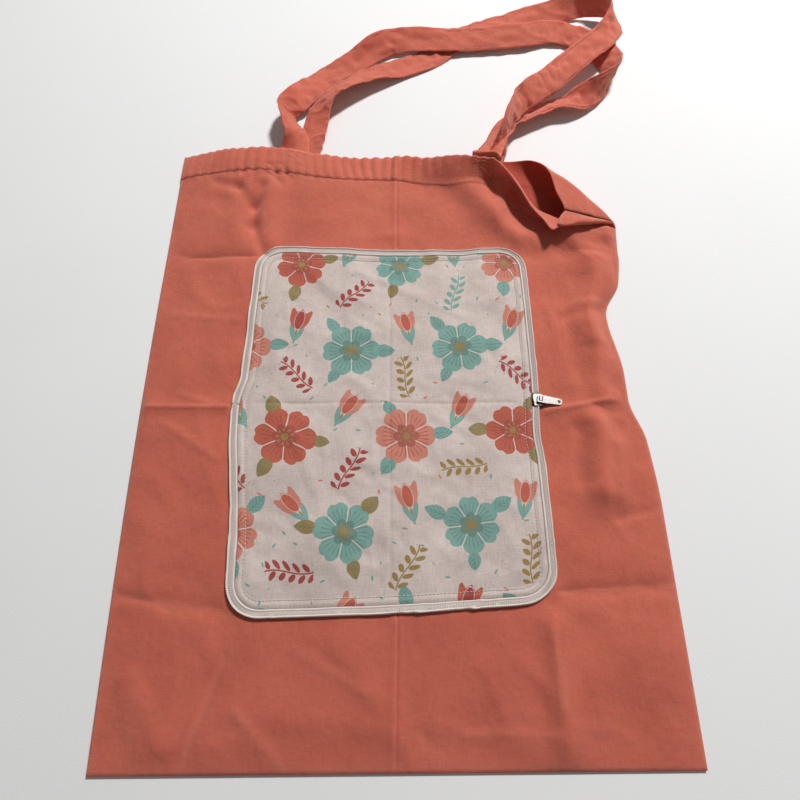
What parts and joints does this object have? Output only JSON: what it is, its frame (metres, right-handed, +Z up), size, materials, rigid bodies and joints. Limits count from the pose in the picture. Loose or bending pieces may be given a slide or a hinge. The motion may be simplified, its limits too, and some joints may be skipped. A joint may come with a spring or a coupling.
{
  "type": "tote bag",
  "caption": "Soft cotton tote bag lying flat, with strap handles, a round-cornered printed zip pouch panel on its front and its mouth turned open at a top corner.",
  "frame": {"origin": "under the middle of the bag, on the surface that it lies on", "axes": "+X to the right across the bag, +Y from its bottom to its mouth, +Z up"},
  "size_m": [0.4231, 0.6853, 0.0358],
  "materials": {
    "coral_cotton": "plain woven cotton",
    "printed_cotton": "plain woven cotton with a floral print",
    "zip_tape": "woven tape with a nylon coil",
    "zip_metal": "plated zinc"
  },
  "bodies": {
    "root": {"bag_back_panel": "coral_cotton", "bag_front_panel": "coral_cotton", "front_handle": "coral_cotton", "back_handle": "coral_cotton", "pocket_panel": "printed_cotton", "zip_tape_upper": "zip_tape", "zip_tape_lower": "zip_tape", "zip_slider": "zip_metal", "zip_pull": "zip_metal"}
  },
  "joints": []
}
